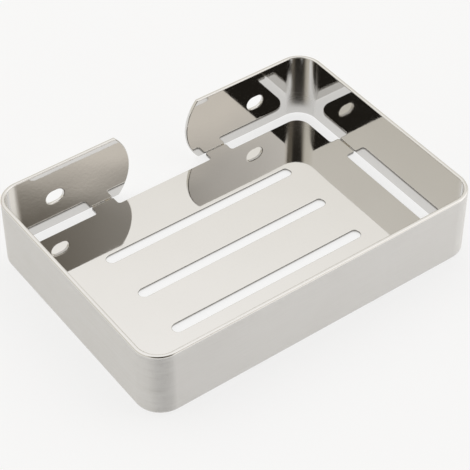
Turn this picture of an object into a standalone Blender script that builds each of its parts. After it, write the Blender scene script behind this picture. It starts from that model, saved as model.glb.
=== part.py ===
"""Wall-mounted soap holder of sheet steel: a bent wall band, a slotted floor plate and the weld beads that join them.

Metres, +Z up. +Y points to the wall that the holder hangs on, +X to the right of someone who faces that wall.
The origin is under the middle of the holder, level with the underside of the floor plate.
"""

import math

import bmesh
import bpy

MM = 0.001

# Wall band
BAND_WIDTH = 130.0 * MM
BAND_DEPTH = 93.6 * MM
BAND_HEIGHT = 25.6 * MM
BAND_THICKNESS = 1.5 * MM
BAND_CORNER_RADIUS = 9.2 * MM  # outer face
BAND_CORNER_STEPS = 16

# Wall tabs, the two ends of the band
TAB_OPENING = 24.0 * MM  # between the tips of the bowed ends
TAB_END_RADIUS = 19.0 * MM
TAB_END_STEPS = 20
SCREW_HOLE_SPACING = 83.8 * MM
SCREW_HOLE_WIDTH = 6.9 * MM
SCREW_HOLE_HEIGHT = 5.2 * MM

# Floor plate
PLATE_THICKNESS = 1.2 * MM
PLATE_RISE = 0.5 * MM  # top of the plate above the lower edge of the band
PLATE_GAP = 4.0 * MM  # between the plate and the inner face of the band
PLATE_CORNER_RADIUS = 5.5 * MM
PLATE_CORNER_STEPS = 12

# Lands, the short tongues that reach from the plate to the band
LAND_WIDTH = 9.0 * MM
LAND_ROOT_RADIUS = 1.0 * MM
LAND_TIP_RADIUS = 0.6 * MM
LAND_STEPS = 5
LAND_SEAM = 0.3 * MM  # between a land's end and the band
LONG_SIDE_LAND_PLACE = 24.1 * MM  # from the middle of the front and of the back
SHORT_SIDE_LAND_PLACE = 18.8 * MM  # from the middle of each end, towards the wall

# Drain slots
SLOT_COUNT = 3
SLOT_LENGTH = 77.0 * MM
SLOT_WIDTH = 4.1 * MM
SLOT_PITCH = 19.4 * MM
SLOT_OFFSET = 0.5 * MM  # middle of the row of slots, towards the wall
ROUND_END_STEPS = 12

# Weld beads, in the step between a land's end and the lower edge of the band
BEAD_REACH = 1.1 * MM  # from the land's end
BEAD_SEAT = 0.2 * MM  # between the bead and the steel on either side
BEAD_STEPS = 5

# All parts
EDGE_RADIUS = 0.3 * MM
EDGE_STEPS = 2
EDGE_ANGLE = math.radians(35)
CUT_OVERRUN = 3.0 * MM
WELD_DISTANCE = 0.001 * MM
STEEL_COLOUR = (0.72, 0.708, 0.688, 1.0)
STEEL_ROUGHNESS = 0.12
BEAD_COLOUR = (0.50, 0.49, 0.47, 1.0)
BEAD_ROUGHNESS = 0.35

QUARTER_TURN = math.radians(90)

# Heights
BAND_BOTTOM = PLATE_THICKNESS - PLATE_RISE
BAND_TOP = BAND_BOTTOM + BAND_HEIGHT
BAND_MIDDLE = (BAND_BOTTOM + BAND_TOP) / 2

# Half sizes of the band's inner face
INNER_HALF_WIDTH = BAND_WIDTH / 2 - BAND_THICKNESS
INNER_HALF_DEPTH = BAND_DEPTH / 2 - BAND_THICKNESS

# The holder's sides, each a quarter turn on from the one before: the names of its lands, their places along it, counted
# anticlockwise from above, and half the band's inner size across it and along it.
LONG_SIDE_LANDS = (-LONG_SIDE_LAND_PLACE, LONG_SIDE_LAND_PLACE)
SIDES = (
    (("right",), (SHORT_SIDE_LAND_PLACE,), INNER_HALF_WIDTH, INNER_HALF_DEPTH),
    (("back_right", "back_left"), LONG_SIDE_LANDS, INNER_HALF_DEPTH, INNER_HALF_WIDTH),
    (("left",), (-SHORT_SIDE_LAND_PLACE,), INNER_HALF_WIDTH, INNER_HALF_DEPTH),
    (("front_left", "front_right"), LONG_SIDE_LANDS, INNER_HALF_DEPTH, INNER_HALF_WIDTH),
)


def clear_scene():
    for old in list(bpy.data.objects):
        bpy.data.objects.remove(old, do_unlink=True)


def new_collection(name):
    collection = bpy.data.collections.new(name)
    bpy.context.scene.collection.children.link(collection)
    return collection


def steel(name, colour, roughness):
    material = bpy.data.materials.new(name)
    material.use_nodes = True
    shader = material.node_tree.nodes["Principled BSDF"]
    shader.inputs["Base Color"].default_value = colour
    shader.inputs["Metallic"].default_value = 1.0
    shader.inputs["Roughness"].default_value = roughness
    return material


def arc(centre_x, centre_y, radius, start, end, steps):
    """Points on an arc from one angle to another, both ends included."""
    points = []
    for step in range(steps + 1):
        angle = start + (end - start) * step / steps
        points.append((centre_x + radius * math.cos(angle), centre_y + radius * math.sin(angle)))
    return points


def obround(centre_x, centre_y, length, width):
    """A slot outline with round ends, its length along X and a point in the middle of each straight side."""
    radius = width / 2
    reach = length / 2 - radius
    right = arc(centre_x + reach, centre_y, radius, -QUARTER_TURN, QUARTER_TURN, ROUND_END_STEPS)
    left = arc(centre_x - reach, centre_y, radius, QUARTER_TURN, 3 * QUARTER_TURN, ROUND_END_STEPS)
    return right + [(centre_x, centre_y + radius)] + left + [(centre_x, centre_y - radius)]


def turned(points, quarters):
    """Points turned about the origin by a number of quarter turns."""
    for _ in range(quarters):
        points = [(-y, x) for x, y in points]
    return points


def curve_object(name, outlines, thickness, collection, closed=True):
    """A flat outline as thick as given, or for an open outline a ribbon as high as given."""
    curve = bpy.data.curves.new(name, "CURVE")
    curve.dimensions = "2D"
    curve.fill_mode = "BOTH" if closed else "NONE"
    curve.extrude = thickness / 2
    for outline in outlines:
        spline = curve.splines.new("POLY")
        spline.points.add(len(outline) - 1)
        for point, (x, y) in zip(spline.points, outline):
            point.co = (x, y, 0.0, 1.0)
        spline.use_cyclic_u = closed
    made = bpy.data.objects.new(name, curve)
    collection.objects.link(made)
    return made


def level_faces(work):
    """The faces of a flat shape's two caps."""
    return [face for face in work.faces if len({round(vert.co.z, 6) for vert in face.verts}) == 1]


def as_mesh(source, name, collection, right_half=False):
    """A mesh object in place of a curve object, its loose caps welded and its flat faces made whole."""
    bpy.context.view_layer.update()
    evaluated = source.evaluated_get(bpy.context.evaluated_depsgraph_get())
    mesh = bpy.data.meshes.new_from_object(evaluated)
    mesh.name = name
    work = bmesh.new()
    work.from_mesh(mesh)
    if right_half:
        everything = list(work.verts) + list(work.edges) + list(work.faces)
        bmesh.ops.bisect_plane(
            work, geom=everything, dist=WELD_DISTANCE, plane_co=(0, 0, 0), plane_no=(-1, 0, 0), clear_outer=True
        )
    bmesh.ops.remove_doubles(work, verts=work.verts, dist=WELD_DISTANCE)
    caps = level_faces(work)
    bmesh.ops.beautify_fill(work, faces=caps, edges=[edge for edge in work.edges if set(edge.link_faces) <= set(caps)])
    bmesh.ops.dissolve_faces(work, faces=level_faces(work), use_verts=True)
    bmesh.ops.recalc_face_normals(work, faces=work.faces)
    work.to_mesh(mesh)
    work.free()
    made = bpy.data.objects.new(name, mesh)
    made.matrix_world = source.matrix_world
    collection.objects.link(made)
    bpy.data.objects.remove(source, do_unlink=True)
    return made


def standing(curve_made):
    """Stands a flat outline up, so that its Y runs up and its thickness along the world's Y."""
    curve_made.rotation_euler = (QUARTER_TURN, 0.0, 0.0)
    return curve_made


def cut(target, cutter):
    cutter.hide_render = True
    cutter.display_type = "WIRE"
    boolean = target.modifiers.new("cut " + cutter.name, "BOOLEAN")
    boolean.operation = "DIFFERENCE"
    boolean.solver = "EXACT"
    boolean.object = cutter


def finish(target, material):
    """Rounds the cut edges, shades the faces smooth between them and gives the steel."""
    bevel = target.modifiers.new("rounded edges", "BEVEL")
    bevel.width = EDGE_RADIUS
    bevel.segments = EDGE_STEPS
    bevel.limit_method = "ANGLE"
    bevel.angle_limit = EDGE_ANGLE
    target.data.shade_smooth()
    target.data.set_sharp_from_angle(angle=EDGE_ANGLE)
    target.data.materials.append(material)


def band_path():
    """The outer face of the band from above, from inside the opening round to its other side."""
    reach_x = BAND_WIDTH / 2 - BAND_CORNER_RADIUS
    reach_y = BAND_DEPTH / 2 - BAND_CORNER_RADIUS
    end = TAB_OPENING / 2 - CUT_OVERRUN
    corners = ((-1, 1, 1), (-1, -1, 2), (1, -1, 3), (1, 1, 4))
    path = [(-end, BAND_DEPTH / 2)]
    for side_x, side_y, quarter in corners:
        start = quarter * QUARTER_TURN
        path += arc(
            side_x * reach_x, side_y * reach_y, BAND_CORNER_RADIUS, start, start + QUARTER_TURN, BAND_CORNER_STEPS
        )
    path.append((end, BAND_DEPTH / 2))
    return path


def opening_outline():
    """The gap between the two tabs, seen from the front and centred on the band's height: each side is hollowed by the
    bowed end of a tab."""
    centre = TAB_OPENING / 2 + TAB_END_RADIUS
    rise = math.asin((BAND_HEIGHT / 2 + CUT_OVERRUN) / TAB_END_RADIUS)
    left = arc(-centre, 0.0, TAB_END_RADIUS, rise, -rise, TAB_END_STEPS)
    right = [(-x, -y) for x, y in left]
    return left + right


def wall_band(parts, cutters, material):
    ribbon = curve_object("wall_band_ribbon", [band_path()], BAND_HEIGHT, parts, closed=False)
    ribbon.location.z = BAND_MIDDLE
    band = as_mesh(ribbon, "wall_band", parts)
    wall = band.modifiers.new("sheet", "SOLIDIFY")
    wall.thickness = BAND_THICKNESS
    wall.offset = -1.0
    wall.use_even_offset = True
    depth = BAND_THICKNESS + 2 * CUT_OVERRUN
    outlines = {
        "back_opening_cutter": opening_outline(),
        "left_hole_cutter": obround(-SCREW_HOLE_SPACING / 2, 0.0, SCREW_HOLE_WIDTH, SCREW_HOLE_HEIGHT),
        "right_hole_cutter": obround(SCREW_HOLE_SPACING / 2, 0.0, SCREW_HOLE_WIDTH, SCREW_HOLE_HEIGHT),
    }
    for name, outline in outlines.items():
        flat = standing(curve_object(name, [outline], depth, cutters))
        flat.location = (0.0, BAND_DEPTH / 2 - BAND_THICKNESS / 2, BAND_MIDDLE)
        cut(band, as_mesh(flat, name, cutters))
    finish(band, material)
    return band


def land_outline(place, edge, end):
    """One land in its side's own frame, X outwards and Y along the side: root fillet, tip corner, tip corner, root."""
    half = LAND_WIDTH / 2
    root = LAND_ROOT_RADIUS
    tip = LAND_TIP_RADIUS
    start_root = arc(edge + root, place - half - root, root, 2 * QUARTER_TURN, QUARTER_TURN, LAND_STEPS)
    start_tip = arc(end - tip, place - half + tip, tip, -QUARTER_TURN, 0.0, LAND_STEPS)
    end_tip = arc(end - tip, place + half - tip, tip, 0.0, QUARTER_TURN, LAND_STEPS)
    end_root = arc(edge + root, place + half + root, root, -QUARTER_TURN, -2 * QUARTER_TURN, LAND_STEPS)
    return start_root + start_tip + end_tip + end_root


def plate_outline():
    """The plate from above, anticlockwise: each side with its lands, then the corner after it."""
    outline = []
    for quarters, (_, places, inner_across, inner_along) in enumerate(SIDES):
        edge = inner_across - PLATE_GAP
        side = []
        for place in places:
            if side:
                side.append((edge, 0.0))
            side += land_outline(place, edge, inner_across - LAND_SEAM)
        side += arc(
            edge - PLATE_CORNER_RADIUS,
            inner_along - PLATE_GAP - PLATE_CORNER_RADIUS,
            PLATE_CORNER_RADIUS,
            0.0,
            QUARTER_TURN,
            PLATE_CORNER_STEPS,
        )
        outline += turned(side, quarters)
    return outline


def floor_plate(parts, material):
    outlines = [plate_outline()]
    for row in range(SLOT_COUNT):
        place = SLOT_OFFSET + (row - (SLOT_COUNT - 1) / 2) * SLOT_PITCH
        outlines.append(obround(0.0, place, SLOT_LENGTH, SLOT_WIDTH))
    flat = curve_object("floor_plate_outline", outlines, PLATE_THICKNESS, parts)
    flat.location.z = PLATE_THICKNESS / 2
    plate = as_mesh(flat, "floor_plate", parts, right_half=True)
    mirror = plate.modifiers.new("left half", "MIRROR")
    mirror.merge_threshold = WELD_DISTANCE
    finish(plate, material)
    return plate


def bead_outline():
    """A fillet weld's section, X away from the land's end and Y up: flat against the band above and the land beside it,
    round below."""
    width = BEAD_REACH - BEAD_SEAT
    height = BAND_BOTTOM - BEAD_SEAT
    points = [(BEAD_SEAT, height)]
    for x, y in arc(0.0, 0.0, 1.0, 3 * QUARTER_TURN, 4 * QUARTER_TURN, BEAD_STEPS):
        points.append((BEAD_SEAT + width * x, height + height * y))
    return points


def weld_beads(parts, material):
    length = LAND_WIDTH - 2 * LAND_TIP_RADIUS
    flat = curve_object("weld_bead_section", [bead_outline()], length, parts)
    first = as_mesh(flat, "weld_bead_section", parts)
    shared = first.data
    shared.materials.append(material)
    bpy.data.objects.remove(first, do_unlink=True)
    for quarters, (names, places, inner_across, _) in enumerate(SIDES):
        for name, place in zip(names, places):
            bead = bpy.data.objects.new("weld_" + name, shared)
            x, y = turned([(inner_across - LAND_SEAM, place)], quarters)[0]
            bead.location = (x, y, 0.0)
            bead.rotation_euler = (QUARTER_TURN, 0.0, quarters * QUARTER_TURN)
            parts.objects.link(bead)


def main():
    clear_scene()
    parts = new_collection("soap_holder")
    cutters = new_collection("cutters")
    sheet = steel("polished_steel", STEEL_COLOUR, STEEL_ROUGHNESS)
    weld = steel("weld_steel", BEAD_COLOUR, BEAD_ROUGHNESS)
    wall_band(parts, cutters, sheet)
    floor_plate(parts, sheet)
    weld_beads(parts, weld)


main()
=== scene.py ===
import math

import bmesh
import bpy
from mathutils import Matrix, Vector


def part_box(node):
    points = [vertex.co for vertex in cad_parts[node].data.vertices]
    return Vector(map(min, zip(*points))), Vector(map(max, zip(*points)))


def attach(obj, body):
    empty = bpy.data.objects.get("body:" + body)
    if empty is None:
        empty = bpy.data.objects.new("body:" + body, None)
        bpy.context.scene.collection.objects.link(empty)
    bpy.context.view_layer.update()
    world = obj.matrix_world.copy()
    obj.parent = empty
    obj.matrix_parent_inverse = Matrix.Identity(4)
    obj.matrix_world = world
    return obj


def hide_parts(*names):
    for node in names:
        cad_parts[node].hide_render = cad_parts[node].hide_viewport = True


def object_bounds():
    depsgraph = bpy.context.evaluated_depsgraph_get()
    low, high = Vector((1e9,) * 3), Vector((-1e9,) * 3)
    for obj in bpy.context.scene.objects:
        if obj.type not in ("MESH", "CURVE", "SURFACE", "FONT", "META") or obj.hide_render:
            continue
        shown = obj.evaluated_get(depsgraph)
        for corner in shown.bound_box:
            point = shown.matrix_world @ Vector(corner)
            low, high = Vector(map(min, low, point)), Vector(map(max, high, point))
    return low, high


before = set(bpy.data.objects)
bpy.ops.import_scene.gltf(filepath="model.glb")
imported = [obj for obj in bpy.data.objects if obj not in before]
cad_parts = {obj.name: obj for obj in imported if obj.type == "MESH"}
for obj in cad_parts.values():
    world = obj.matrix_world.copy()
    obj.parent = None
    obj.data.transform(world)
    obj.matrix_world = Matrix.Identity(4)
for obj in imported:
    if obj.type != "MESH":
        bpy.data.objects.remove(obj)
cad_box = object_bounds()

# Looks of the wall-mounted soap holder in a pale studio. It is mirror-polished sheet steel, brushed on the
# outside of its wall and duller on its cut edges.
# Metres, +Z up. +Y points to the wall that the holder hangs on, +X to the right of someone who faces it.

MM = 0.001

# Wall band: its outer sizes come from the frame
BAND_THICKNESS = 1.5 * MM
BAND_CORNER_RADIUS = 9.2 * MM  # outer face
BAND_CORNER_STEPS = 72
BAND_OUTER_EDGE_RADIUS = 0.65 * MM
BAND_INNER_EDGE_RADIUS = 0.38 * MM

# Wall tabs
TAB_OPENING = 24.0 * MM  # between the tips of the bowed ends
TAB_END_RADIUS = 19.0 * MM
TAB_END_STEPS = 32
SCREW_HOLE_SPACING = 83.8 * MM
SCREW_HOLE_WIDTH = 6.9 * MM
SCREW_HOLE_HEIGHT = 5.2 * MM

# Floor plate: its outer sizes and thickness come from the frame
PLATE_GAP = 4.0 * MM  # between the plate and the inner face of the band
PLATE_CORNER_RADIUS = 5.5 * MM
PLATE_CORNER_STEPS = 40
PLATE_EDGE_RADIUS = 0.22 * MM

# Lands, the short tongues that reach from the plate to the band
LAND_WIDTH = 9.0 * MM
LAND_ROOT_RADIUS = 1.0 * MM
LAND_TIP_RADIUS = 0.6 * MM
LAND_STEPS = 10
LONG_SIDE_LAND_PLACE = 24.1 * MM  # from the middle of the front and of the back
SHORT_SIDE_LAND_PLACE = 18.8 * MM  # from the middle of each end, towards the wall

# Drain slots
SLOT_COUNT = 3
SLOT_LENGTH = 77.0 * MM
SLOT_WIDTH = 4.1 * MM
SLOT_PITCH = 19.4 * MM
SLOT_OFFSET = 0.5 * MM  # middle of the row of slots, towards the wall
ROUND_END_STEPS = 40

# Weld beads
WELD_REACH = 1.1 * MM  # outwards from the land's end
WELD_CLEARANCE = 0.05 * MM  # above the plate's underside
WELD_OVERLAP = 0.05 * MM
WELD_FILLET_STEPS = 12
WELD_LENGTH_STEPS = 150
WELD_END_LENGTH = 0.9 * MM
WELD_END_SHARE = 0.3
WELD_RIPPLE_PITCH = 0.65 * MM
WELD_RIPPLE_BOW = 0.3 * MM
WELD_RIPPLE_SHARE = 0.12
WELD_SEAM_DEPTH = 0.15 * MM  # below the plate's upper face
WELD_SEAM_CROWN = 0.05 * MM
WELD_SHARP_ANGLE = math.radians(60)

# Both sheets
EDGE_STEPS = 5
EDGE_ANGLE = math.radians(35)
CUT_OVERRUN = 3.0 * MM
WELD_DISTANCE = 0.0005 * MM
BROAD_FACE_TOLERANCE = 0.01 * MM
CUT_FACE_TILT = 0.05  # the most that a cut face's normal rises or falls
LEVEL_DIGITS = 6  # of a metre, to which the corners of a level face agree
FLAT_FACE_WEIGHT = 100
FLAT_FACE_THRESHOLD = 0.01

# Camera, fitted to the edges of the holder in the photograph
CAMERA_AZIMUTH = math.radians(-35.99)
CAMERA_ELEVATION = math.radians(43.96)
CAMERA_ROLL = math.radians(-0.17)
CAMERA_DISTANCE = 572.0 * MM
CAMERA_AIM = Vector((1.75, 2.47, 3.92)) * MM
CAMERA_LENS = 130.0
SENSOR_WIDTH = 36.0
CAMERA_CLIP_FACTOR = 100

# Steel of both sheets, with its smudges. A span is the range of a noise's value over which a mark comes up.
STEEL_COLOUR = (0.72, 0.708, 0.688)
STEEL_SHADE = (0.70, 0.688, 0.668)
GRAIN_SPAN = (0.3, 0.7)
SMUDGE_SIZE = 14.0 * MM
SMUDGE_DETAIL = 4.0
SMUDGE_SPAN = (0.42, 0.72)
SMUDGE_ROUGHNESS = 0.02

# Relief of the broad faces
HAIRLINE_ACROSS = 0.12 * MM
HAIRLINE_ALONG = 25.0 * MM
HAIRLINE_DETAIL = 3.0
HAIRLINE_SPAN = (0.58, 0.72)
HAIRLINE_ROUGHNESS = 0.03
HAIRLINE_DEPTH = 0.00004 * MM
WAVE_SIZE = 22.0 * MM
WAVE_DETAIL = 0.0
WAVE_HEIGHT = 0.04 * MM
PEEL_SIZE = 1.2 * MM
PEEL_DETAIL = 1.0
PEEL_HEIGHT = 0.0012 * MM

# Polished faces
POLISH_ROUGHNESS = 0.03
HIGH_BEND_ROUGHNESS = 0.1  # added on the inside of the band's bends, near the rim
LOW_BEND_ROUGHNESS = 0.28  # and near the plate
BEND_EASE = 1.0 * MM

# Outside of the band, brushed along its length
BRUSHED_ROUGHNESS = 0.4
BRUSHING = 0.95
ACROSS_TANGENT = 0.25  # of a turn
BRUSH_GRAIN_ACROSS = 0.15 * MM
BRUSH_GRAIN_ALONG = 12.0 * MM
BRUSH_GRAIN_DETAIL = 3.0
BRUSH_GRAIN_ROUGHNESS = 0.08
BRUSH_GRAIN_HEIGHT = 0.0006 * MM

# Cut edges
CUT_ROUGHNESS = 0.14
CUT_ROUGHNESS_RANGE = 0.05
CUT_PATCH_DETAIL = 2.0
CUT_GRAIN = 0.12 * MM
CUT_GRAIN_DETAIL = 3.0
CUT_GRAIN_HEIGHT = 0.003 * MM
# Painted shade: the plate's cut faces are painted dark down to this depth, standing in for the dark
# reflection along the slots' far edges
PAINTED_SHADE_CUT_COLOUR = (0.10, 0.095, 0.09)
DARK_CUT_DEPTH = 0.56 * MM  # below the plate's upper face
DARK_CUT_EASE = 0.08 * MM

# Welds
WELD_COLOUR = (0.50, 0.49, 0.47)
WELD_STRAW = (0.50, 0.42, 0.29)
WELD_STRAW_SPAN = (0.50, 0.66)
WELD_STRAW_SHARE = 0.6
WELD_BLUE = (0.33, 0.37, 0.44)
WELD_BLUE_SPAN = (0.30, 0.44)
WELD_BLUE_SHARE = 0.5
WELD_TINT_SIZE = 2.0 * MM
WELD_TINT_DETAIL = 1.0
WELD_ROUGHNESS = 0.36
WELD_ROUGHNESS_RANGE = 0.08
WELD_PIT_SIZE = 0.15 * MM
WELD_PIT_DETAIL = 4.0
WELD_PIT_DEPTH = 0.008 * MM

# A mix node's sockets for colours
MIX_COLOUR_INPUTS = (6, 7)
MIX_COLOUR_OUTPUT = 2

# Studio: a pale room with two large softboxes, its dark side towards the camera, a small fill card there, and
# the black round the camera itself. Each has its azimuth and elevation, the angle out to the middle of its
# soft edge, half that edge's width, and its radiance. They are laid over the room one after another.
ROOM_RADIANCE = (0.84, 0.81, 0.73)
STUDIO_AREAS = {
    "overhead softbox": (170.0, 80.0, 40.0, 12.0, (1.2, 1.19, 1.18)),
    "front right softbox": (40.0, 25.0, 50.0, 15.0, (1.4, 1.38, 1.35)),
    "dark side": (-18.0, 42.0, 40.0, 10.0, (0.18, 0.16, 0.13)),
    "fill card": (28.5, 28.0, 14.0, 1.0, (1.05, 1.0, 0.93)),
    "camera side": (-36.0, 44.0, 20.0, 6.0, (0.03, 0.027, 0.023)),
}
FLOOR_SIZE = 6.0
FLOOR_COLOUR = (0.9, 0.9, 0.9)
FLOOR_WHITE_SHARE = 0.75  # of plain white in the floor, for the camera and the steel alike

QUARTER_TURN = math.radians(90)

band_low, band_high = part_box("wall_band")
plate_low, plate_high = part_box("floor_plate")
BAND_WIDTH = band_high.x - band_low.x
BAND_DEPTH = band_high.y - band_low.y
BAND_HEIGHT = band_high.z - band_low.z
BAND_MIDDLE = (band_high.z + band_low.z) / 2
PLATE_THICKNESS = plate_high.z - plate_low.z
INNER_HALF_WIDTH = BAND_WIDTH / 2 - BAND_THICKNESS
INNER_HALF_DEPTH = BAND_DEPTH / 2 - BAND_THICKNESS
LAND_SEAM = INNER_HALF_WIDTH - plate_high.x

# The holder's sides, each a quarter turn on from the one before: the places of its lands along it, counted
# anticlockwise from above, and half the band's inner size across it and along it.
LONG_SIDE_LANDS = (-LONG_SIDE_LAND_PLACE, LONG_SIDE_LAND_PLACE)
SIDES = (
    ((SHORT_SIDE_LAND_PLACE,), INNER_HALF_WIDTH, INNER_HALF_DEPTH),
    (LONG_SIDE_LANDS, INNER_HALF_DEPTH, INNER_HALF_WIDTH),
    ((-SHORT_SIDE_LAND_PLACE,), INNER_HALF_WIDTH, INNER_HALF_DEPTH),
    (LONG_SIDE_LANDS, INNER_HALF_DEPTH, INNER_HALF_WIDTH),
)

WELD_SIDES = (
    ("weld_right", 0),
    ("weld_back_right", 1),
    ("weld_back_left", 1),
    ("weld_left", 2),
    ("weld_front_left", 3),
    ("weld_front_right", 3),
)


def arc(centre_x, centre_y, radius, start, end, steps):
    """Points on an arc from one angle to another, both ends included."""
    points = []
    for step in range(steps + 1):
        angle = start + (end - start) * step / steps
        points.append((centre_x + radius * math.cos(angle), centre_y + radius * math.sin(angle)))
    return points


def obround(centre_x, centre_y, length, width):
    """A slot outline with round ends, its length along X."""
    radius = width / 2
    reach = length / 2 - radius
    right = arc(centre_x + reach, centre_y, radius, -QUARTER_TURN, QUARTER_TURN, ROUND_END_STEPS)
    left = arc(centre_x - reach, centre_y, radius, QUARTER_TURN, 3 * QUARTER_TURN, ROUND_END_STEPS)
    return right + [(centre_x, centre_y + radius)] + left + [(centre_x, centre_y - radius)]


def turned(points, quarters):
    """Points turned about the origin by a number of quarter turns."""
    for _ in range(quarters):
        points = [(-y, x) for x, y in points]
    return points


def curve_object(name, outlines, thickness, closed=True):
    """A flat outline as thick as given, or for an open outline a ribbon as high as given."""
    curve = bpy.data.curves.new(name, "CURVE")
    curve.dimensions = "2D"
    curve.fill_mode = "BOTH" if closed else "NONE"
    curve.extrude = thickness / 2
    for outline in outlines:
        spline = curve.splines.new("POLY")
        spline.points.add(len(outline) - 1)
        for point, (x, y) in zip(spline.points, outline):
            point.co = (x, y, 0.0, 1.0)
        spline.use_cyclic_u = closed
    made = bpy.data.objects.new(name, curve)
    bpy.context.scene.collection.objects.link(made)
    return made


def level_faces(work):
    """The faces of a flat shape's two caps."""
    level = []
    for face in work.faces:
        heights = {round(vert.co.z, LEVEL_DIGITS) for vert in face.verts}
        if len(heights) == 1:
            level.append(face)
    return level


def evaluated_mesh(source):
    bpy.context.view_layer.update()
    return bpy.data.meshes.new_from_object(source.evaluated_get(bpy.context.evaluated_depsgraph_get()))


def as_mesh(source, name, right_half=False):
    """A mesh object in place of a curve object, its loose caps welded and its flat faces made whole."""
    mesh = evaluated_mesh(source)
    mesh.name = name
    work = bmesh.new()
    work.from_mesh(mesh)
    if right_half:
        everything = list(work.verts) + list(work.edges) + list(work.faces)
        bmesh.ops.bisect_plane(
            work,
            geom=everything,
            dist=WELD_DISTANCE,
            plane_co=(0, 0, 0),
            plane_no=(-1, 0, 0),
            clear_outer=True,
        )
    bmesh.ops.remove_doubles(work, verts=work.verts, dist=WELD_DISTANCE)
    caps = level_faces(work)
    cap_set = set(caps)
    cap_edges = [edge for edge in work.edges if set(edge.link_faces) <= cap_set]
    bmesh.ops.beautify_fill(work, faces=caps, edges=cap_edges)
    bmesh.ops.dissolve_faces(work, faces=level_faces(work), use_verts=True)
    bmesh.ops.recalc_face_normals(work, faces=work.faces)
    work.to_mesh(mesh)
    work.free()
    made = bpy.data.objects.new(name, mesh)
    made.matrix_world = source.matrix_world
    bpy.context.scene.collection.objects.link(made)
    bpy.data.objects.remove(source, do_unlink=True)
    return made


def standing(curve_made):
    """Stands a flat outline up, so that its Y runs up and its thickness along the world's Y."""
    curve_made.rotation_euler = (QUARTER_TURN, 0.0, 0.0)
    return curve_made


def cut(target, cutter):
    boolean = target.modifiers.new("cut " + cutter.name, "BOOLEAN")
    boolean.operation = "DIFFERENCE"
    boolean.solver = "EXACT"
    boolean.object = cutter


def settle(target):
    """Applies a piece's modifiers and its place."""
    mesh = evaluated_mesh(target)
    mesh.transform(target.matrix_world)
    mesh.name = target.data.name + "_fine"
    target.modifiers.clear()
    target.data = mesh
    target.matrix_world = Matrix.Identity(4)


def round_edges(target, edge_radius):
    """Rounds a settled piece's sharp edges, each by the radius that its middle calls for, and shades the
    piece smooth with its flat faces kept flat."""
    work = bmesh.new()
    work.from_mesh(target.data)
    weight = work.edges.layers.float.new("bevel_weight_edge")
    middles = {edge: (edge.verts[0].co + edge.verts[1].co) / 2 for edge in work.edges}
    sharp = [edge for edge in work.edges if edge.calc_face_angle(0.0) > EDGE_ANGLE]
    radii = {edge: edge_radius(middles[edge]) for edge in sharp}
    largest = max(radii.values())
    for edge, radius in radii.items():
        edge[weight] = radius / largest
    work.to_mesh(target.data)
    work.free()
    bevel = target.modifiers.new("rounded edges", "BEVEL")
    bevel.width = largest
    bevel.segments = EDGE_STEPS
    bevel.limit_method = "WEIGHT"
    settle(target)
    target.data.shade_smooth()
    weighted = target.modifiers.new("flat faces stay flat", "WEIGHTED_NORMAL")
    weighted.mode = "FACE_AREA"
    weighted.weight = FLAT_FACE_WEIGHT
    weighted.thresh = FLAT_FACE_THRESHOLD


def band_path():
    """The outer face of the band from above, from inside the opening round to its other side."""
    reach_x = BAND_WIDTH / 2 - BAND_CORNER_RADIUS
    reach_y = BAND_DEPTH / 2 - BAND_CORNER_RADIUS
    end = TAB_OPENING / 2 - CUT_OVERRUN
    corners = ((-1, 1, 1), (-1, -1, 2), (1, -1, 3), (1, 1, 4))
    path = [(-end, BAND_DEPTH / 2)]
    for side_x, side_y, quarter in corners:
        start = quarter * QUARTER_TURN
        stop = start + QUARTER_TURN
        path += arc(side_x * reach_x, side_y * reach_y, BAND_CORNER_RADIUS, start, stop, BAND_CORNER_STEPS)
    path.append((end, BAND_DEPTH / 2))
    return path


def band_depth(point):
    """How deep a point of the band lies behind its outer face."""
    out_x = abs(point.x) - (BAND_WIDTH / 2 - BAND_CORNER_RADIUS)
    out_y = abs(point.y) - (BAND_DEPTH / 2 - BAND_CORNER_RADIUS)
    return BAND_CORNER_RADIUS - math.hypot(max(out_x, 0.0), max(out_y, 0.0))


def band_edge_radius(point):
    return BAND_OUTER_EDGE_RADIUS if band_depth(point) < BAND_THICKNESS / 2 else BAND_INNER_EDGE_RADIUS


def opening_outline():
    """The gap between the two tabs, seen from the front and centred on the band's height: each side is
    hollowed by the bowed end of a tab, and runs on straight past the band's edges."""
    centre = TAB_OPENING / 2 + TAB_END_RADIUS
    rise = math.asin(BAND_HEIGHT / 2 / TAB_END_RADIUS)
    left = arc(-centre, 0.0, TAB_END_RADIUS, rise, -rise, TAB_END_STEPS)
    past = BAND_HEIGHT / 2 + CUT_OVERRUN
    left = [(left[0][0], past)] + left + [(left[-1][0], -past)]
    right = [(-x, -y) for x, y in left]
    return left + right


def wall_band():
    ribbon = curve_object("band_ribbon", [band_path()], BAND_HEIGHT, closed=False)
    ribbon.location.z = BAND_MIDDLE
    band = as_mesh(ribbon, "polished_wall_band")
    wall = band.modifiers.new("sheet", "SOLIDIFY")
    wall.thickness = BAND_THICKNESS
    wall.offset = -1.0
    wall.use_even_offset = True
    depth = BAND_THICKNESS + 2 * CUT_OVERRUN
    outlines = {
        "back_opening_cutter": opening_outline(),
        "left_hole_cutter": obround(-SCREW_HOLE_SPACING / 2, 0.0, SCREW_HOLE_WIDTH, SCREW_HOLE_HEIGHT),
        "right_hole_cutter": obround(SCREW_HOLE_SPACING / 2, 0.0, SCREW_HOLE_WIDTH, SCREW_HOLE_HEIGHT),
    }
    cutters = []
    for name, outline in outlines.items():
        flat = standing(curve_object(name, [outline], depth))
        flat.location = (0.0, BAND_DEPTH / 2 - BAND_THICKNESS / 2, BAND_MIDDLE)
        cutter = as_mesh(flat, name)
        cut(band, cutter)
        cutters.append(cutter)
    settle(band)
    for cutter in cutters:
        bpy.data.objects.remove(cutter, do_unlink=True)
    round_edges(band, band_edge_radius)
    return band


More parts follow.
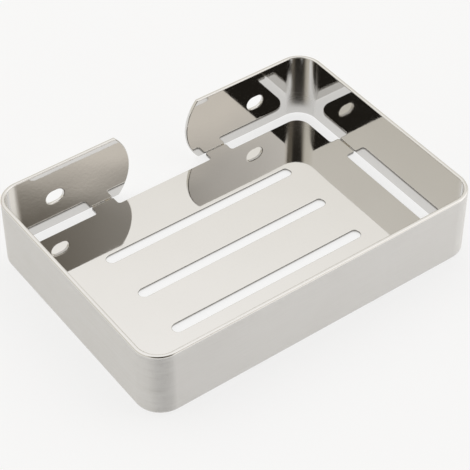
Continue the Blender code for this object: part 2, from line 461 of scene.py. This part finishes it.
def land_outline(place, edge, end):
    """One land in its side's own frame, X outwards and Y along the side: root, two tip corners, root."""
    half = LAND_WIDTH / 2
    root = LAND_ROOT_RADIUS
    tip = LAND_TIP_RADIUS
    start_root = arc(edge + root, place - half - root, root, 2 * QUARTER_TURN, QUARTER_TURN, LAND_STEPS)
    start_tip = arc(end - tip, place - half + tip, tip, -QUARTER_TURN, 0.0, LAND_STEPS)
    end_tip = arc(end - tip, place + half - tip, tip, 0.0, QUARTER_TURN, LAND_STEPS)
    end_root = arc(edge + root, place + half + root, root, -QUARTER_TURN, -2 * QUARTER_TURN, LAND_STEPS)
    return start_root + start_tip + end_tip + end_root


def plate_outline():
    """The plate from above, anticlockwise: each side with its lands, then the corner after it."""
    outline = []
    for quarters, (places, inner_across, inner_along) in enumerate(SIDES):
        edge = inner_across - PLATE_GAP
        side = []
        for place in places:
            if side:
                side.append((edge, 0.0))
            side += land_outline(place, edge, inner_across - LAND_SEAM)
        side += arc(
            edge - PLATE_CORNER_RADIUS,
            inner_along - PLATE_GAP - PLATE_CORNER_RADIUS,
            PLATE_CORNER_RADIUS,
            0.0,
            QUARTER_TURN,
            PLATE_CORNER_STEPS,
        )
        outline += turned(side, quarters)
    return outline


def floor_plate():
    outlines = [plate_outline()]
    for row in range(SLOT_COUNT):
        place = SLOT_OFFSET + (row - (SLOT_COUNT - 1) / 2) * SLOT_PITCH
        outlines.append(obround(0.0, place, SLOT_LENGTH, SLOT_WIDTH))
    flat = curve_object("plate_outline", outlines, PLATE_THICKNESS)
    flat.location.z = (plate_low.z + plate_high.z) / 2
    plate = as_mesh(flat, "polished_floor_plate", right_half=True)
    mirror = plate.modifiers.new("left half", "MIRROR")
    mirror.merge_threshold = WELD_DISTANCE
    settle(plate)
    round_edges(plate, lambda middle: PLATE_EDGE_RADIUS)
    return plate


def weld_section(swell, along):
    """A weld bead's outline across its length, as distances outwards from the land's end and heights: a
    bulging fillet beneath the band, then over the root and up into the seam. The swell runs up to 1 where the
    bead is full, and the place along the bead sets the depth of its ripples, whose crests are bowed."""
    least_reach = LAND_SEAM + BAND_INNER_EDGE_RADIUS
    reach = least_reach + (WELD_REACH - least_reach) * swell
    drop = (band_low.z - plate_low.z - WELD_CLEARANCE) * swell
    fillet = []
    for step in range(WELD_FILLET_STEPS + 1):
        angle = QUARTER_TURN * step / WELD_FILLET_STEPS
        phase = (along + WELD_RIPPLE_BOW * math.sin(2 * angle)) / WELD_RIPPLE_PITCH
        size = 1 - WELD_RIPPLE_SHARE * (1 - abs(math.sin(math.pi * phase)))
        fillet.append((reach * size * math.sin(angle), band_low.z - drop * size * math.cos(angle)))
    land_side = [(-PLATE_EDGE_RADIUS, fillet[0][1])]
    seam_top = plate_high.z - WELD_SEAM_DEPTH
    inside = [
        (fillet[-1][0], band_low.z + WELD_OVERLAP),
        (least_reach, band_low.z + WELD_OVERLAP),
        (LAND_SEAM + WELD_OVERLAP, seam_top),
        (LAND_SEAM / 2, seam_top + WELD_SEAM_CROWN),
        (-WELD_OVERLAP, seam_top),
    ]
    return land_side + fillet + inside


def weld_bead(node, quarters):
    """One weld bead, as long as its node's solid: a row of overlapping ripples that thins to both ends."""
    low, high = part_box(node)
    turn = Matrix.Rotation(quarters * QUARTER_TURN, 4, "Z")
    middle = turn.inverted() @ ((low + high) / 2)
    half_length = abs((turn.inverted() @ (high - low)).y) / 2
    land_end = SIDES[quarters][1] - LAND_SEAM
    work = bmesh.new()
    rings = []
    for step in range(WELD_LENGTH_STEPS + 1):
        along = -half_length + 2 * half_length * step / WELD_LENGTH_STEPS
        short = 1 - min((half_length - abs(along)) / WELD_END_LENGTH, 1.0)
        swell = WELD_END_SHARE + (1 - WELD_END_SHARE) * math.sqrt(1 - short**2)
        section = weld_section(swell, along)
        rings.append([work.verts.new((land_end + out, middle.y + along, up)) for out, up in section])
    count = len(rings[0])
    for ring, following in zip(rings, rings[1:]):
        for index in range(count):
            after = (index + 1) % count
            work.faces.new((ring[index], ring[after], following[after], following[index]))
    work.faces.new(rings[0])
    work.faces.new(rings[-1])
    bmesh.ops.recalc_face_normals(work, faces=work.faces)
    mesh = bpy.data.meshes.new("fine_" + node)
    work.to_mesh(mesh)
    work.free()
    mesh.transform(turn)
    mesh.shade_smooth()
    mesh.set_sharp_from_angle(angle=WELD_SHARP_ANGLE)
    bead = bpy.data.objects.new("fine_" + node, mesh)
    bpy.context.scene.collection.objects.link(bead)
    return bead


class Nodes:
    """A node tree with short calls for adding and joining nodes."""

    def __init__(self, tree):
        self.tree = tree
        tree.nodes.clear()

    def add(self, kind, inputs=(), **settings):
        """A node with its settings, and its inputs given by name as values or as other nodes' outputs."""
        node = self.tree.nodes.new(kind)
        for key, value in settings.items():
            setattr(node, key, value)
        for key, value in dict(inputs).items():
            if isinstance(value, bpy.types.NodeSocket):
                self.tree.links.new(value, node.inputs[key])
            else:
                node.inputs[key].default_value = value
        return node

    def math(self, operation, *values):
        node = self.tree.nodes.new("ShaderNodeMath")
        node.operation = operation
        for socket, value in zip(node.inputs, values):
            if isinstance(value, bpy.types.NodeSocket):
                self.tree.links.new(value, socket)
            else:
                socket.default_value = value
        return node.outputs[0]

    def noise(self, place, feature, detail):
        """Noise whose lumps are about as large as given, either one size or a size along each axis."""
        sizes = feature if isinstance(feature, tuple) else (feature,) * 3
        scales = [1.0 / size for size in sizes]
        stretched = self.add("ShaderNodeVectorMath", {0: place, 1: scales}, operation="MULTIPLY")
        inputs = {"Vector": stretched.outputs[0], "Scale": 1.0, "Detail": detail}
        return self.add("ShaderNodeTexNoise", inputs).outputs[0]

    def span(self, value, low, high, at_low, at_high):
        """One value up to the low end, another from the high end on, and an eased passage between."""
        inputs = {"Value": value, "From Min": low, "From Max": high, "To Min": at_low, "To Max": at_high}
        return self.add("ShaderNodeMapRange", inputs, interpolation_type="SMOOTHSTEP").outputs[0]

    def blend(self, share, first, second):
        """A colour between two, each given as a colour or as another node's output."""
        inputs = {0: share}
        for socket, colour in zip(MIX_COLOUR_INPUTS, (first, second)):
            inputs[socket] = colour if isinstance(colour, bpy.types.NodeSocket) else (*colour, 1.0)
        return self.add("ShaderNodeMix", inputs, data_type="RGBA").outputs[MIX_COLOUR_OUTPUT]


def new_material(name):
    material = bpy.data.materials.new(name)
    material.use_nodes = True
    return material, Nodes(material.node_tree)


def finish_metal(nodes, colour, roughness, height, brushing=0.0):
    """The metal shader at the end of a steel's nodes. The height is in metres. Brushing along level lines
    spreads the shine up and down."""
    bump = nodes.add("ShaderNodeBump", {"Strength": 1.0, "Distance": 1.0, "Height": height})
    inputs = {
        "Base Color": colour,
        "Metallic": 1.0,
        "Roughness": roughness,
        "Normal": bump.outputs[0],
        "Anisotropic": brushing,
        "Anisotropic Rotation": ACROSS_TANGENT,
    }
    shader = nodes.add("ShaderNodeBsdfPrincipled", inputs)
    nodes.add("ShaderNodeOutputMaterial", {"Surface": shader.outputs[0]})


def bend_share(nodes, x, y):
    """1 in the band's bent corners and 0 on its flats."""
    start_x = BAND_WIDTH / 2 - BAND_CORNER_RADIUS
    start_y = BAND_DEPTH / 2 - BAND_CORNER_RADIUS
    in_x = nodes.span(nodes.math("ABSOLUTE", x), start_x - BEND_EASE, start_x + BEND_EASE, 0.0, 1.0)
    in_y = nodes.span(nodes.math("ABSOLUTE", y), start_y - BEND_EASE, start_y + BEND_EASE, 0.0, 1.0)
    return nodes.math("MULTIPLY", in_x, in_y)


def sheet_surface(nodes, place, hairline):
    """What every broad face of the sheet has: slow waves, fine peel, hairlines and a breath of smudges. Gives
    its colour, the roughness that these add, and its height."""
    smudges = nodes.noise(place, SMUDGE_SIZE, SMUDGE_DETAIL)
    scores = nodes.span(nodes.noise(place, hairline, HAIRLINE_DETAIL), *HAIRLINE_SPAN, 0.0, 1.0)
    wear = nodes.span(smudges, *SMUDGE_SPAN, 0.0, SMUDGE_ROUGHNESS)
    wear = nodes.math("MULTIPLY_ADD", scores, HAIRLINE_ROUGHNESS, wear)
    height = nodes.math("MULTIPLY", nodes.noise(place, WAVE_SIZE, WAVE_DETAIL), WAVE_HEIGHT)
    height = nodes.math("MULTIPLY_ADD", nodes.noise(place, PEEL_SIZE, PEEL_DETAIL), PEEL_HEIGHT, height)
    height = nodes.math("MULTIPLY_ADD", scores, -HAIRLINE_DEPTH, height)
    return nodes.blend(smudges, STEEL_COLOUR, STEEL_SHADE), wear, height


def polished_steel(name, hairline, bent):
    """Mirror-polished sheet. The bent band is hazier inside its bends, most of all low down."""
    material, nodes = new_material(name)
    place = nodes.add("ShaderNodeTexCoord").outputs["Object"]
    colour, wear, height = sheet_surface(nodes, place, hairline)
    roughness = nodes.math("ADD", wear, POLISH_ROUGHNESS)
    if bent:
        x, y, z = nodes.add("ShaderNodeSeparateXYZ", {0: place}).outputs
        haze = nodes.span(z, band_low.z, band_high.z, LOW_BEND_ROUGHNESS, HIGH_BEND_ROUGHNESS)
        roughness = nodes.math("MULTIPLY_ADD", bend_share(nodes, x, y), haze, roughness)
    finish_metal(nodes, colour, roughness, height)
    return material


def brushed_steel(name, hairline):
    """The outside of the band, brushed along its length."""
    material, nodes = new_material(name)
    place = nodes.add("ShaderNodeTexCoord").outputs["Object"]
    colour, wear, height = sheet_surface(nodes, place, hairline)
    grain_size = (BRUSH_GRAIN_ALONG, BRUSH_GRAIN_ALONG, BRUSH_GRAIN_ACROSS)
    grain = nodes.noise(place, grain_size, BRUSH_GRAIN_DETAIL)
    least = BRUSHED_ROUGHNESS - BRUSH_GRAIN_ROUGHNESS
    most = BRUSHED_ROUGHNESS + BRUSH_GRAIN_ROUGHNESS
    roughness = nodes.span(grain, *GRAIN_SPAN, least, most)
    height = nodes.math("MULTIPLY_ADD", grain, BRUSH_GRAIN_HEIGHT, height)
    finish_metal(nodes, colour, nodes.math("ADD", roughness, wear), height, BRUSHING)
    return material


def cut_steel(name, painted_shade_top):
    """Cut edges of a sheet, duller than its faces. On the plate, the upper part is painted dark: a painted
    shade in place of the dark reflection along the slots' far edges.
    """
    material, nodes = new_material(name)
    place = nodes.add("ShaderNodeTexCoord").outputs["Object"]
    grain = nodes.noise(place, CUT_GRAIN, CUT_GRAIN_DETAIL)
    patches = nodes.noise(place, SMUDGE_SIZE, CUT_PATCH_DETAIL)
    least = CUT_ROUGHNESS - CUT_ROUGHNESS_RANGE
    most = CUT_ROUGHNESS + CUT_ROUGHNESS_RANGE
    roughness = nodes.span(patches, *GRAIN_SPAN, least, most)
    colour = nodes.blend(grain, STEEL_COLOUR, STEEL_SHADE)
    # Painted shade: a dark band on the upper part of the cut face, for the dark reflection along the slots'
    # far edges
    if painted_shade_top:
        height = nodes.add("ShaderNodeSeparateXYZ", {0: place}).outputs[2]
        border = plate_high.z - DARK_CUT_DEPTH
        dark = nodes.span(height, border - DARK_CUT_EASE, border + DARK_CUT_EASE, 0.0, 1.0)
        colour = nodes.blend(dark, colour, PAINTED_SHADE_CUT_COLOUR)
    finish_metal(nodes, colour, roughness, nodes.math("MULTIPLY", grain, CUT_GRAIN_HEIGHT))
    return material


def weld_steel():
    """Cleaned weld: satin, finely pitted, with a trace of straw and blue from the heat."""
    material, nodes = new_material("weld_steel")
    place = nodes.add("ShaderNodeTexCoord").outputs["Object"]
    pits = nodes.noise(place, WELD_PIT_SIZE, WELD_PIT_DETAIL)
    heat = nodes.noise(place, WELD_TINT_SIZE, WELD_TINT_DETAIL)
    straw = nodes.span(heat, *WELD_STRAW_SPAN, 0.0, WELD_STRAW_SHARE)
    blue = nodes.span(heat, *WELD_BLUE_SPAN, WELD_BLUE_SHARE, 0.0)
    colour = nodes.blend(blue, nodes.blend(straw, WELD_COLOUR, WELD_STRAW), WELD_BLUE)
    least = WELD_ROUGHNESS - WELD_ROUGHNESS_RANGE
    most = WELD_ROUGHNESS + WELD_ROUGHNESS_RANGE
    roughness = nodes.span(pits, *GRAIN_SPAN, least, most)
    finish_metal(nodes, colour, roughness, nodes.math("MULTIPLY", pits, WELD_PIT_DEPTH))
    return material


def give_materials(piece, materials, finish):
    """A sheet's materials, and for each of its faces the number of the one that it takes."""
    mesh = piece.data
    for material in materials:
        mesh.materials.append(material)
    for face in mesh.polygons:
        face.material_index = finish(face)


def band_finish(face):
    """0 on the band's inner surface, 1 on its outer one, and 2 on its cut and rounded edges."""
    depths = [band_depth(face.id_data.vertices[index].co) for index in face.vertices]
    if min(depths) > BAND_THICKNESS - BROAD_FACE_TOLERANCE:
        return 0
    return 1 if max(depths) < BROAD_FACE_TOLERANCE else 2


def plate_finish(face):
    """1 on the plate's upright cut faces, and 0 on the rest, which takes in the rounded edges."""
    return 0 if abs(face.normal.z) > CUT_FACE_TILT else 1


def direction(azimuth, elevation):
    """A unit vector towards an azimuth, counted from -Y towards +X, and an elevation, both in degrees."""
    around = math.radians(azimuth)
    up = math.radians(elevation)
    return Vector((math.sin(around) * math.cos(up), -math.cos(around) * math.cos(up), math.sin(up)))


def studio_world():
    world = bpy.data.worlds.new("studio")
    world.use_nodes = True
    bpy.context.scene.world = world
    nodes = Nodes(world.node_tree)
    towards = nodes.add("ShaderNodeTexCoord").outputs["Generated"]
    colour = ROOM_RADIANCE
    for azimuth, elevation, radius, softness, radiance in STUDIO_AREAS.values():
        both = {0: towards, 1: direction(azimuth, elevation)}
        cosine = nodes.add("ShaderNodeVectorMath", both, operation="DOT_PRODUCT").outputs["Value"]
        angle = nodes.math("ARCCOSINE", cosine)
        share = nodes.span(angle, math.radians(radius - softness), math.radians(radius + softness), 1.0, 0.0)
        colour = nodes.blend(share, colour, radiance)
    studio = nodes.add("ShaderNodeBackground", {"Color": colour, "Strength": 1.0})
    nodes.add("ShaderNodeOutputWorld", {"Surface": studio.outputs[0]})


def studio_floor():
    mesh = bpy.data.meshes.new("studio_floor")
    work = bmesh.new()
    bmesh.ops.create_grid(work, x_segments=1, y_segments=1, size=FLOOR_SIZE / 2)
    work.to_mesh(mesh)
    work.free()
    floor = bpy.data.objects.new("studio_floor", mesh)
    floor.location.z = cad_box[0].z
    bpy.context.scene.collection.objects.link(floor)
    material, nodes = new_material("studio_floor")
    diffuse = nodes.add("ShaderNodeBsdfDiffuse", {"Color": (*FLOOR_COLOUR, 1.0)}).outputs[0]
    white = nodes.add("ShaderNodeEmission", {"Color": (1.0, 1.0, 1.0, 1.0), "Strength": 1.0}).outputs[0]
    paths = nodes.add("ShaderNodeLightPath").outputs
    seen = nodes.math("MAXIMUM", paths["Is Glossy Ray"], paths["Is Transmission Ray"])
    seen = nodes.math("MAXIMUM", paths["Is Camera Ray"], seen)
    share = nodes.math("MULTIPLY", seen, FLOOR_WHITE_SHARE)
    floor_shader = nodes.add("ShaderNodeMixShader", {0: share, 1: diffuse, 2: white}).outputs[0]
    nodes.add("ShaderNodeOutputMaterial", {"Surface": floor_shader})
    mesh.materials.append(material)


def make_camera():
    back = direction(math.degrees(CAMERA_AZIMUTH), math.degrees(CAMERA_ELEVATION))
    camera = bpy.data.objects.new("camera", bpy.data.cameras.new("camera"))
    camera.data.lens = CAMERA_LENS
    camera.data.sensor_width = SENSOR_WIDTH
    camera.data.clip_start = CAMERA_DISTANCE / CAMERA_CLIP_FACTOR
    camera.data.clip_end = CAMERA_DISTANCE * CAMERA_CLIP_FACTOR
    upright = (-back).to_track_quat("-Z", "Y").to_matrix().to_4x4()
    place = Matrix.Translation(CAMERA_AIM + back * CAMERA_DISTANCE)
    camera.matrix_world = place @ upright @ Matrix.Rotation(CAMERA_ROLL, 4, "Z")
    bpy.context.scene.collection.objects.link(camera)
    bpy.context.scene.camera = camera


def place_piece(piece, node):
    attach(piece, "root")
    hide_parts(node)


def main():
    bpy.context.scene.view_settings.view_transform = "Standard"
    make_camera()
    studio_world()
    studio_floor()
    band = wall_band()
    band_hairline = (HAIRLINE_ALONG, HAIRLINE_ALONG, HAIRLINE_ACROSS)
    inside = polished_steel("polished_band_steel", band_hairline, bent=True)
    outside = brushed_steel("brushed_band_steel", band_hairline)
    give_materials(band, (inside, outside, cut_steel("cut_band_steel", painted_shade_top=False)), band_finish)
    place_piece(band, "wall_band")
    plate = floor_plate()
    plate_hairline = (HAIRLINE_ALONG, HAIRLINE_ACROSS, HAIRLINE_ALONG)
    broad = polished_steel("polished_plate_steel", plate_hairline, bent=False)
    # The plate's cut faces take the painted shade in their upper part
    give_materials(plate, (broad, cut_steel("cut_plate_steel", painted_shade_top=True)), plate_finish)
    place_piece(plate, "floor_plate")
    weld = weld_steel()
    for node, quarters in WELD_SIDES:
        bead = weld_bead(node, quarters)
        bead.data.materials.append(weld)
        place_piece(bead, node)


main()
